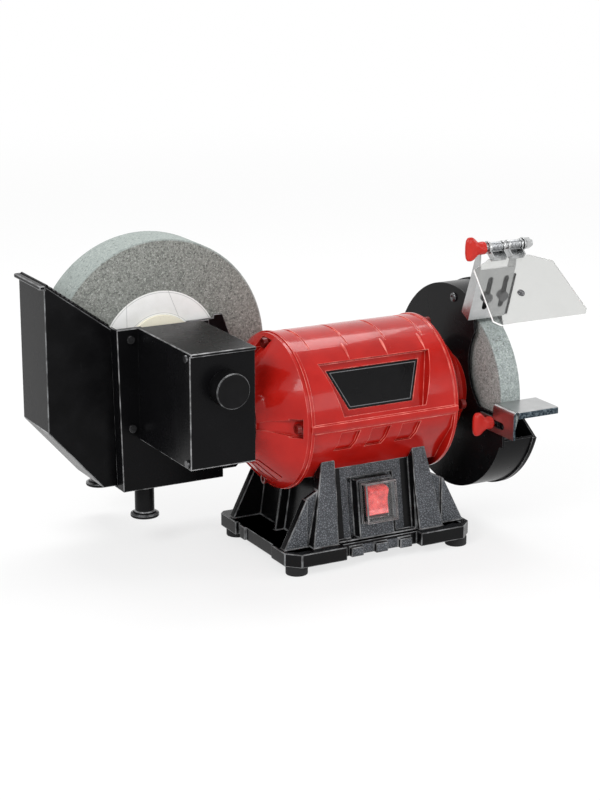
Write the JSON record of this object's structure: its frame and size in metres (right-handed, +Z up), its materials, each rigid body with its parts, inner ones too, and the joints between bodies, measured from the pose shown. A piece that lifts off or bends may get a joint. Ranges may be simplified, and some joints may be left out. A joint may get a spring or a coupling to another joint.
{
  "type": "bench grinder",
  "caption": "Bench grinder: a motor drives a small dry wheel directly and a large slow wet stone through a worm gear, over a water tank; eye shield, tool rest, stand.",
  "frame": {"origin": "on the bench, at the centre of the four bench-bolt holes, under the middle of the motor", "axes": "+X along the motor axis to the dry wheel, +Y to the back, +Z up"},
  "size_m": [0.417, 0.3011, 0.2749],
  "materials": {
    "bearing_steel": "satin",
    "black_moulding": "satin",
    "black_plate": "satin",
    "black_sheet": "satin",
    "bronze": "satin",
    "can_white": "satin",
    "clear_sheet": "satin",
    "copper_coil": "satin",
    "core_iron": "satin",
    "cream_disc": "satin",
    "dark_screw": "satin",
    "dry_stone": "satin",
    "grey_cast": "satin",
    "grey_panel": "satin",
    "red_knob": "satin",
    "red_rocker": "satin",
    "red_shell": "satin",
    "rubber": "satin",
    "wet_stone_grit": "satin",
    "white_paper": "satin",
    "zinc_sheet": "satin"
  },
  "bodies": {
    "machine": {"stand": "black_moulding", "bottom_plate": "grey_panel", "rubber_feet": "rubber", "motor_casing": "red_shell", "left_end_cap": "red_shell", "right_end_cap": "red_shell", "end_cap_screws": "dark_screw", "nameplate": "black_plate", "stator_core": "core_iron", "stator_windings": "copper_coil", "motor_bearings": "bearing_steel", "capacitor": "can_white", "cable_gland": "rubber", "switch_body": "black_moulding", "switch_hood": "clear_sheet", "guard_shell": "black_sheet", "guard_cover": "black_sheet", "guard_screws": "dark_screw", "gear_housing": "grey_cast", "spindle_bushes": "bronze", "gearbox_cover": "black_sheet", "cover_screws": "dark_screw", "spindle_cap": "black_moulding", "tank_bracket": "black_sheet", "bracket_screws": "dark_screw", "tank_legs": "black_moulding", "water_tank": "black_moulding", "tank_rest": "black_moulding", "spark_screws": "dark_screw", "rest_bolt": "zinc_sheet"},
    "rotor": {"motor_shaft": "bearing_steel", "rotor_core": "core_iron", "worm": "bronze", "dry_wheel": "dry_stone", "wheel_flanges": "zinc_sheet", "wheel_nut": "zinc_sheet"},
    "wet_wheel": {"wet_spindle": "bearing_steel", "worm_wheel": "bronze", "wet_stone": "wet_stone_grit", "stone_label": "white_paper", "stone_flanges": "cream_disc", "spindle_nut": "zinc_sheet"},
    "rocker_body": {"rocker": "red_rocker"},
    "rest": {"tool_rest": "zinc_sheet"},
    "rest_knob_body": {"rest_knob": "red_knob"},
    "spark_arm": {"spark_bracket": "zinc_sheet", "shield_rod": "zinc_sheet", "shield_springs": "zinc_sheet"},
    "shield": {"eye_shield": "clear_sheet", "shield_clamps": "zinc_sheet"},
    "shield_knob_body": {"shield_knob": "red_knob"}
  },
  "joints": [
    {"name": "wet_spin", "type": "hinge", "parent": "machine", "child": "wet_wheel", "pos_m": [-0.1395, 0, 0.168], "axis": [0, 1, 0], "continuous": true},
    {"name": "motor_spin", "type": "hinge", "parent": "machine", "child": "rotor", "pos_m": [0, 0, 0.128], "axis": [1, 0, 0], "continuous": true},
    {"name": "rocker_tilt", "type": "hinge", "parent": "machine", "child": "rocker_body", "pos_m": [0, -0.04919, 0.05069], "axis": [1, 0, 0], "range_deg": [-16, 0]},
    {"name": "rest_slide", "type": "slide", "parent": "machine", "child": "rest", "axis": [0, 1, 0], "range_m": [-0.01, 0.0015]},
    {"name": "rest_knob_turn", "type": "hinge", "parent": "machine", "child": "rest_knob_body", "pos_m": [0, -0.076, 0.113], "axis": [1, 0, 0], "range_deg": [0, 720]},
    {"name": "spark_slide", "type": "slide", "parent": "machine", "child": "spark_arm", "axis": [0, -0.3173, 0.9483], "range_m": [-0.003, 0.008]},
    {"name": "shield_tilt", "type": "hinge", "parent": "spark_arm", "child": "shield", "pos_m": [0, -0.06795, 0.26462], "axis": [1, 0, 0], "range_deg": [-60, 10]},
    {"name": "shield_knob_turn", "type": "hinge", "parent": "spark_arm", "child": "shield_knob_body", "pos_m": [0, -0.06795, 0.26462], "axis": [1, 0, 0], "range_deg": [0, 720]}
  ],
  "couplings": [
    {"joint": "motor_spin", "follows": "wet_spin", "ratio": 22}
  ]
}
